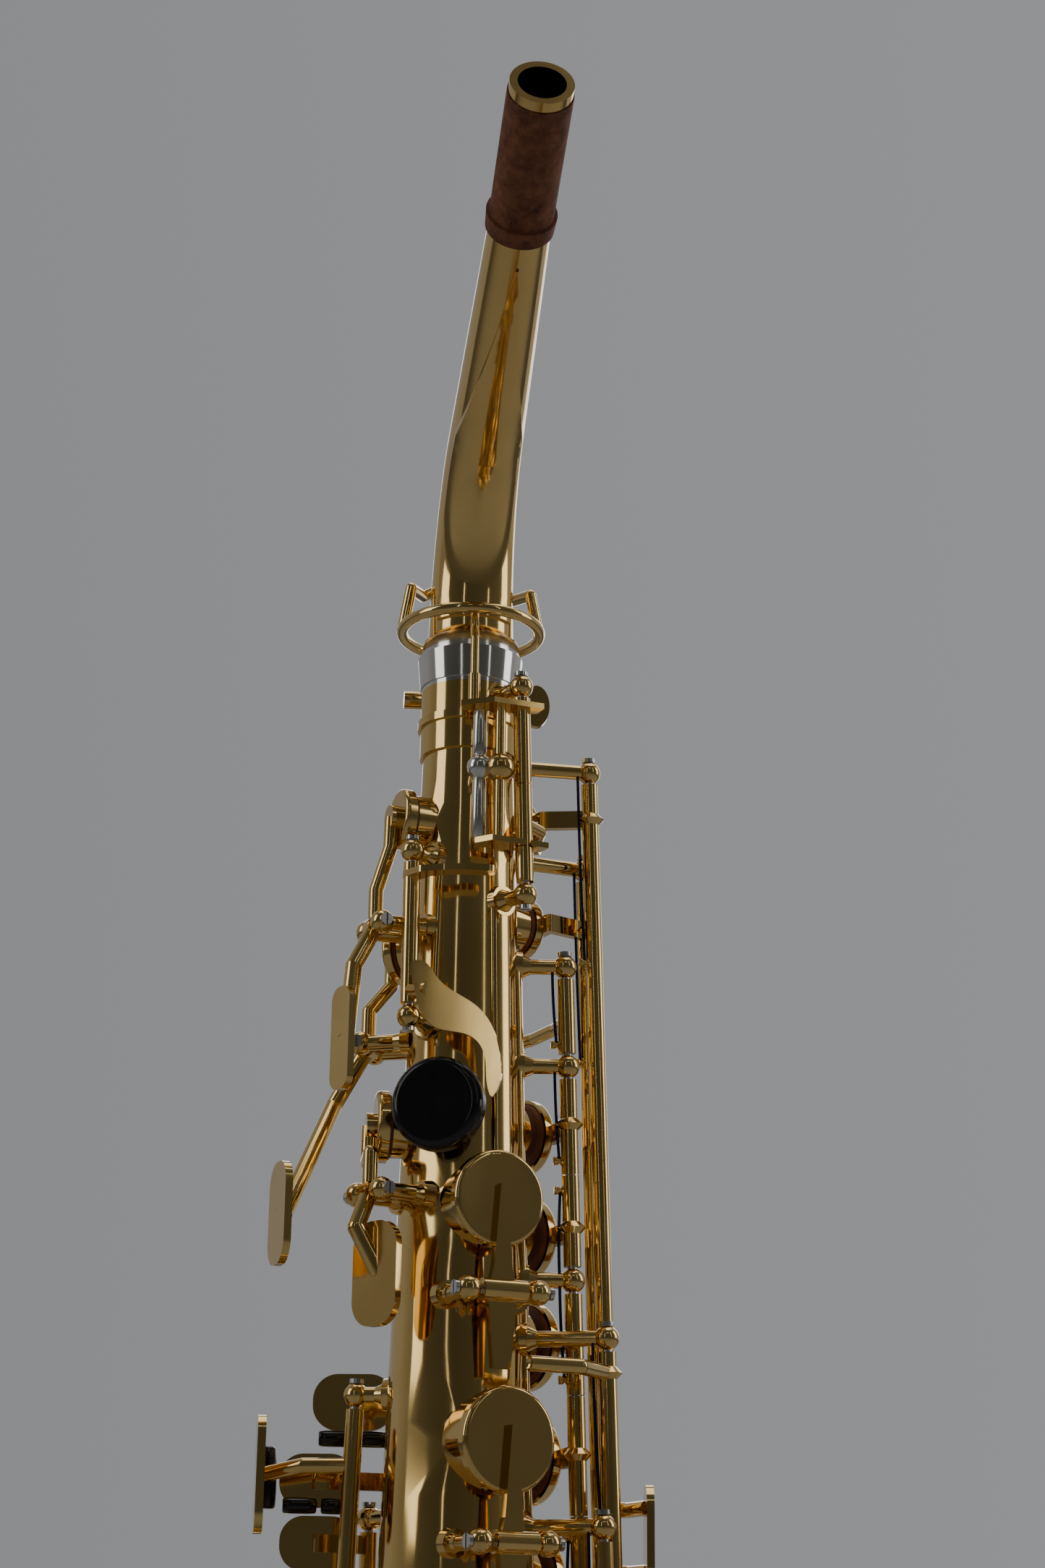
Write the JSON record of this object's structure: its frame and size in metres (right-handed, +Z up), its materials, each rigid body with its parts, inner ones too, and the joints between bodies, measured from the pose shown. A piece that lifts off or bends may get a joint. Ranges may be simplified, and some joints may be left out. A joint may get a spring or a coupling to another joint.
{
  "type": "alto saxophone",
  "caption": "Conical bent brass woodwind with an upturned bell, a separate angled neck with a cork end, and sprung keys that open and close its tone holes.",
  "frame": {"origin": "centre of the strap ring's hole, on the player's side of the main tube", "axes": "+Z up along the main tube, +Y forward to the bell, +X to the player's right, along the strap ring's hole"},
  "size_m": [0.1361, 0.314, 0.6783],
  "materials": {
    "brass": "polished, clear lacquer",
    "nickel": "polished nickel silver",
    "steel": "polished steel",
    "cork": "sanded cork",
    "pad_leather": "smooth kid leather",
    "black": "polished black resin"
  },
  "bodies": {
    "body": {"body_tube": "brass", "bow": "brass", "bell": "brass", "body_ferrule": "brass", "bell_ferrule": "brass", "neck_socket": "nickel", "thumb_rest": "black", "strap_ring": "brass", "thumb_hook": "brass", "bell_brace": "brass", "right_posts": "brass", "left_posts": "brass", "cross_posts": "brass", "hinge_rods": "steel", "bell_guard": "brass", "low_c_guard": "brass", "low_e_flat_guard": "brass", "low_c_sharp_guard": "brass"},
    "neck": {"neck_tube": "brass", "neck_cork": "cork", "neck_tenon": "nickel", "neck_brace": "brass", "neck_saddle": "brass"},
    "c_key_part": {"c_key": "brass"},
    "b_key_part": {"b_key": "brass"},
    "a_key_part": {"a_key": "brass"},
    "bis_key_part": {"bis_key": "brass"},
    "g_key_part": {"g_key": "brass"},
    "f_sharp_key_part": {"f_sharp_key": "brass"},
    "f_key_part": {"f_key": "brass"},
    "e_key_part": {"e_key": "brass"},
    "d_key_part": {"d_key": "brass"},
    "g_sharp_key_part": {"g_sharp_key": "brass"},
    "g_sharp_lever_part": {"g_sharp_lever": "brass"},
    "high_e_key_part": {"high_e_key": "brass"},
    "high_f_sharp_key_part": {"high_f_sharp_key": "brass"},
    "front_f_lever_part": {"front_f_lever": "brass"},
    "side_c_cup_part": {"side_c_cup": "brass", "side_c_pad": "pad_leather"},
    "side_bb_cup_part": {"side_bb_cup": "brass", "side_bb_pad": "pad_leather"},
    "side_c_lever_part": {"side_c_lever": "brass"},
    "side_bb_lever_part": {"side_bb_lever": "brass"},
    "palm_f_part": {"palm_f": "brass", "palm_f_pad": "pad_leather"},
    "palm_e_flat_part": {"palm_e_flat": "brass", "palm_e_flat_pad": "pad_leather"},
    "palm_d_part": {"palm_d": "brass", "palm_d_pad": "pad_leather"},
    "low_e_flat_key_part": {"low_e_flat_key": "brass"},
    "low_c_key_part": {"low_c_key": "brass"},
    "low_b_key_part": {"low_b_key": "brass"},
    "low_bb_key_part": {"low_bb_key": "brass"},
    "low_c_sharp_key_part": {"low_c_sharp_key": "brass"},
    "octave_rocker_part": {"octave_rocker": "brass"},
    "body_octave_key_part": {"body_octave_key": "brass"},
    "thumb_octave_lever_part": {"thumb_octave_lever": "brass"},
    "clamp_screw_part": {"clamp_screw": "brass"},
    "neck_octave_key_part": {"neck_octave_key": "brass", "neck_octave_pad": "pad_leather"}
  },
  "joints": [
    {"name": "neck_swivel", "type": "hinge", "parent": "body", "child": "neck", "pos_m": [0, 0.032, 0.29], "axis": [0, 0, 1], "range_deg": [-20, 20]},
    {"name": "c_key_joint", "type": "hinge", "parent": "body", "child": "c_key_part", "pos_m": [0.02757, 0.0291, 0.2], "axis": [-0.0297, 0.0031, 0.9996], "range_deg": [0, 13.6], "stiffness_Nm_per_rad": 0.2, "springref_deg": -10.87},
    {"name": "b_key_joint", "type": "hinge", "parent": "body", "child": "b_key_part", "pos_m": [0.02757, 0.0291, 0.2], "axis": [-0.0297, 0.0031, 0.9996], "range_deg": [0, 13.19], "stiffness_Nm_per_rad": 0.2, "springref_deg": -10.55},
    {"name": "a_key_joint", "type": "hinge", "parent": "body", "child": "a_key_part", "pos_m": [0.02757, 0.0291, 0.2], "axis": [-0.0297, 0.0031, 0.9996], "range_deg": [0, 12.8], "stiffness_Nm_per_rad": 0.2, "springref_deg": -10.24},
    {"name": "bis_key_joint", "type": "hinge", "parent": "body", "child": "bis_key_part", "pos_m": [0.02757, 0.0291, 0.2], "axis": [-0.0297, 0.0031, 0.9996], "range_deg": [0, 12.42], "stiffness_Nm_per_rad": 0.2, "springref_deg": -9.94},
    {"name": "g_key_joint", "type": "hinge", "parent": "body", "child": "g_key_part", "pos_m": [0.02757, 0.0291, 0.2], "axis": [-0.0297, 0.0031, 0.9996], "range_deg": [0, 12.05], "stiffness_Nm_per_rad": 0.2, "springref_deg": -9.64},
    {"name": "f_sharp_key_joint", "type": "hinge", "parent": "body", "child": "f_sharp_key_part", "pos_m": [0.02757, 0.0291, 0.2], "axis": [-0.0297, 0.0031, 0.9996], "range_deg": [0, 11.26], "stiffness_Nm_per_rad": 0.2, "springref_deg": -9.01},
    {"name": "f_key_joint", "type": "hinge", "parent": "body", "child": "f_key_part", "pos_m": [0.02757, 0.0291, 0.2], "axis": [-0.0297, 0.0031, 0.9996], "range_deg": [0, 10.89], "stiffness_Nm_per_rad": 0.2, "springref_deg": -8.71},
    {"name": "e_key_joint", "type": "hinge", "parent": "body", "child": "e_key_part", "pos_m": [0.02757, 0.0291, 0.2], "axis": [-0.0297, 0.0031, 0.9996], "range_deg": [0, 10.53], "stiffness_Nm_per_rad": 0.2, "springref_deg": -8.42},
    {"name": "d_key_joint", "type": "hinge", "parent": "body", "child": "d_key_part", "pos_m": [0.02757, 0.0291, 0.2], "axis": [-0.0297, 0.0031, 0.9996], "range_deg": [0, 10.18], "stiffness_Nm_per_rad": 0.2, "springref_deg": -8.15},
    {"name": "g_sharp_key_joint", "type": "hinge", "parent": "body", "child": "g_sharp_key_part", "pos_m": [0.02757, 0.0291, 0.2], "axis": [0.0297, -0.0031, -0.9996], "range_deg": [0, 9.28], "stiffness_Nm_per_rad": 0.2, "springref_deg": -7.43},
    {"name": "g_sharp_lever_joint", "type": "hinge", "parent": "body", "child": "g_sharp_lever_part", "pos_m": [-0.02586, 0.0404, 0.084], "axis": [0.0284, -0.0092, 0.9996], "range_deg": [0, 7.5], "stiffness_Nm_per_rad": 0.2, "springref_deg": -6},
    {"name": "high_e_key_joint", "type": "hinge", "parent": "body", "child": "high_e_key_part", "pos_m": [0.03455, 0.04126, 0.232], "axis": [0.0289, 0.0077, -0.9996], "range_deg": [0, 13.69], "stiffness_Nm_per_rad": 0.35, "springref_deg": -10.95},
    {"name": "high_f_sharp_key_joint", "type": "hinge", "parent": "body", "child": "high_f_sharp_key_part", "pos_m": [0.03487, 0.03444, 0.259], "axis": [0.0298, 0.0021, -0.9996], "range_deg": [0, 14.79], "stiffness_Nm_per_rad": 0.35, "springref_deg": -11.83},
    {"name": "front_f_lever_joint", "type": "hinge", "parent": "body", "child": "front_f_lever_part", "pos_m": [0.02757, 0.0291, 0.2], "axis": [-0.0297, 0.0031, 0.9996], "range_deg": [0, 5.63], "stiffness_Nm_per_rad": 0.2, "springref_deg": -4.51},
    {"name": "side_c_cup_joint", "type": "hinge", "parent": "body", "child": "side_c_cup_part", "pos_m": [-0.00052, 0.00188, 0.1075], "axis": [0.9511, 0.309, 0], "range_deg": [0, 14.14], "stiffness_Nm_per_rad": 0.2, "springref_deg": -11.31},
    {"name": "side_bb_cup_joint", "type": "hinge", "parent": "body", "child": "side_bb_cup_part", "pos_m": [0.00339, 0.0003, 0.0455], "axis": [0.9135, 0.4067, 0], "range_deg": [0, 13.63], "stiffness_Nm_per_rad": 0.2, "springref_deg": -10.91},
    {"name": "side_c_lever_joint", "type": "hinge", "parent": "body", "child": "side_c_lever_part", "pos_m": [0.03782, 0.01971, 0.098], "axis": [0.0284, -0.0092, -0.9996], "range_deg": [0, 8.45], "stiffness_Nm_per_rad": 0.2, "springref_deg": -6.76},
    {"name": "side_bb_lever_joint", "type": "hinge", "parent": "body", "child": "side_bb_lever_part", "pos_m": [0.03569, 0.0114, 0.05], "axis": [0.0259, -0.0149, -0.9996], "range_deg": [0, 11.96], "stiffness_Nm_per_rad": 0.2, "springref_deg": -9.57},
    {"name": "palm_f_joint", "type": "hinge", "parent": "body", "child": "palm_f_part", "pos_m": [-0.02713, 0.03094, 0.208], "axis": [0.2588, -0.9659, 0], "range_deg": [0, 9.71], "stiffness_Nm_per_rad": 0.2, "springref_deg": -7.77},
    {"name": "palm_e_flat_joint", "type": "hinge", "parent": "body", "child": "palm_e_flat_part", "pos_m": [-0.02314, 0.04782, 0.178], "axis": [-0.3746, -0.9272, 0], "range_deg": [0, 11.01], "stiffness_Nm_per_rad": 0.2, "springref_deg": -8.81},
    {"name": "palm_d_joint", "type": "hinge", "parent": "body", "child": "palm_d_part", "pos_m": [-0.02815, 0.02383, 0.134], "axis": [0.4695, -0.8829, 0], "range_deg": [0, 14.77], "stiffness_Nm_per_rad": 0.2, "springref_deg": -11.81},
    {"name": "low_e_flat_key_joint", "type": "hinge", "parent": "body", "child": "low_e_flat_key_part", "pos_m": [0.02757, 0.0291, 0.2], "axis": [0.0297, -0.0031, -0.9996], "range_deg": [0, 11.3], "stiffness_Nm_per_rad": 0.2, "springref_deg": -9.04},
    {"name": "low_c_key_joint", "type": "hinge", "parent": "body", "child": "low_c_key_part", "pos_m": [0.03336, 0.01426, -0.17], "axis": [-0.0264, 0.014, 0.9996], "range_deg": [0, 8.26], "stiffness_Nm_per_rad": 0.35, "springref_deg": -6.61},
    {"name": "low_b_key_joint", "type": "hinge", "parent": "body", "child": "low_b_key_part", "pos_m": [-0.0134, 0.0605, 0.07], "axis": [0, 0, 1], "range_deg": [0, 7.85], "stiffness_Nm_per_rad": 0.35, "springref_deg": -6.29},
    {"name": "low_bb_key_joint", "type": "hinge", "parent": "body", "child": "low_bb_key_part", "pos_m": [-0.0063, 0.065, 0.092], "axis": [0, 0, 1], "range_deg": [0, 9.32], "stiffness_Nm_per_rad": 0.35, "springref_deg": -7.45},
    {"name": "low_c_sharp_key_joint", "type": "hinge", "parent": "body", "child": "low_c_sharp_key_part", "pos_m": [-0.02, 0.062, 0.054], "axis": [0, 0, 1], "range_deg": [0, 7.9], "stiffness_Nm_per_rad": 0.35, "springref_deg": -6.32},
    {"name": "octave_rocker_joint", "type": "hinge", "parent": "body", "child": "octave_rocker_part", "pos_m": [0.0125, 0.01275, 0.276], "axis": [-0.0297, -0.0046, 0.9995], "range_deg": [0, 11.12], "stiffness_Nm_per_rad": 0.2, "springref_deg": -8.9},
    {"name": "body_octave_key_joint", "type": "hinge", "parent": "body", "child": "body_octave_key_part", "pos_m": [0.0125, 0.01275, 0.276], "axis": [0.0297, 0.0046, -0.9995], "range_deg": [0, 10.21], "stiffness_Nm_per_rad": 0.2, "springref_deg": -8.17},
    {"name": "thumb_octave_lever_joint", "type": "hinge", "parent": "body", "child": "thumb_octave_lever_part", "pos_m": [-0.01639, 0.0175, 0.228], "axis": [0.0017, 0.0418, 0.9991], "range_deg": [0, 10.42], "stiffness_Nm_per_rad": 0.2, "springref_deg": -8.34},
    {"name": "clamp_screw_joint", "type": "hinge", "parent": "body", "child": "clamp_screw_part", "pos_m": [0, 0.0503, 0.2845], "axis": [1, 0, 0], "range_deg": [-90, 90]},
    {"name": "neck_octave_key_joint", "type": "hinge", "parent": "neck", "child": "neck_octave_key_part", "pos_m": [-0.0052, 0.04047, 0.33398], "axis": [-1, 0, 0], "range_deg": [0, 3.31], "stiffness_Nm_per_rad": 0.2, "springref_deg": -2.65}
  ],
  "couplings": [
    {"joint": "side_c_cup_joint", "follows": "side_c_lever_joint", "ratio": 1.6724},
    {"joint": "side_bb_cup_joint", "follows": "side_bb_lever_joint", "ratio": 1.1391},
    {"joint": "g_sharp_key_joint", "follows": "g_sharp_lever_joint", "ratio": 1.2364},
    {"joint": "octave_rocker_joint", "follows": "thumb_octave_lever_joint", "ratio": 1.0659},
    {"joint": "neck_octave_key_joint", "follows": "thumb_octave_lever_joint", "ratio": 0.31752}
  ]
}
